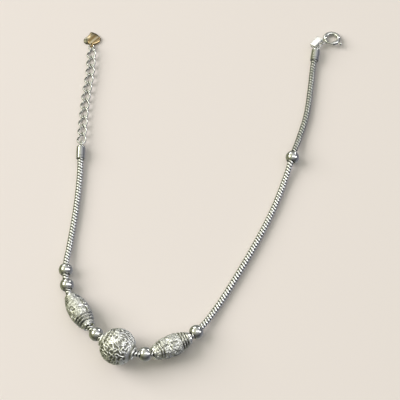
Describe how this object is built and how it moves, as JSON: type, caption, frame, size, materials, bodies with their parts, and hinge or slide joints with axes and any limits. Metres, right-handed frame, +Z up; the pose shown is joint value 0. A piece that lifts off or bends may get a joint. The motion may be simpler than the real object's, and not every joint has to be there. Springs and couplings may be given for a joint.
{
  "type": "beaded snake chain bracelet",
  "caption": "Open metal bracelet of round snake chain with worked and polished beads, a link extender with a heart tag, and a spring-ring clasp.",
  "frame": {"origin": "on the surface the bracelet lies on, under the middle of its footprint", "axes": "+Y towards both free ends, away from the beads; +X towards the clasp's side; +Z up from the surface"},
  "size_m": [0.0807, 0.1048, 0.0096],
  "materials": {
    "chain_metal": "ribbed bright silver-coloured metal",
    "worked_metal": "frosted and cut silver-coloured metal",
    "polished_metal": "polished silver-coloured metal",
    "warm_metal": "polished, warm golden brown"
  },
  "bodies": {
    "bracelet": {"snake_chain": "chain_metal", "spacer_bead_1": "polished_metal", "spacer_bead_2": "polished_metal", "spacer_bead_3": "polished_metal", "spacer_bead_4": "polished_metal", "spacer_bead_5": "polished_metal", "spacer_bead_6": "polished_metal", "oval_bead_1": "worked_metal", "oval_bead_2": "worked_metal", "large_bead": "worked_metal", "extender_cap": "polished_metal", "clasp_cap": "polished_metal", "extender_link_01": "polished_metal", "extender_link_02": "polished_metal", "extender_link_03": "polished_metal", "extender_link_04": "polished_metal", "extender_link_05": "polished_metal", "extender_link_06": "polished_metal", "extender_link_07": "polished_metal", "extender_link_08": "polished_metal", "extender_link_09": "polished_metal", "extender_link_10": "polished_metal", "extender_link_11": "polished_metal", "tag_ring": "polished_metal", "end_tag": "warm_metal", "clasp_link": "polished_metal", "clasp_tag": "polished_metal", "spring_ring": "polished_metal"},
    "bolt": {"clasp_bolt": "polished_metal"}
  },
  "joints": [
    {"name": "bolt_slide", "type": "hinge", "parent": "bracelet", "child": "bolt", "pos_m": [0.0375, 0.0496, 0.001], "axis": [0, 0.1908, 0.9816], "range_deg": [0, 55], "stiffness_Nm_per_rad": 0.0005, "springref_deg": -20.05}
  ]
}
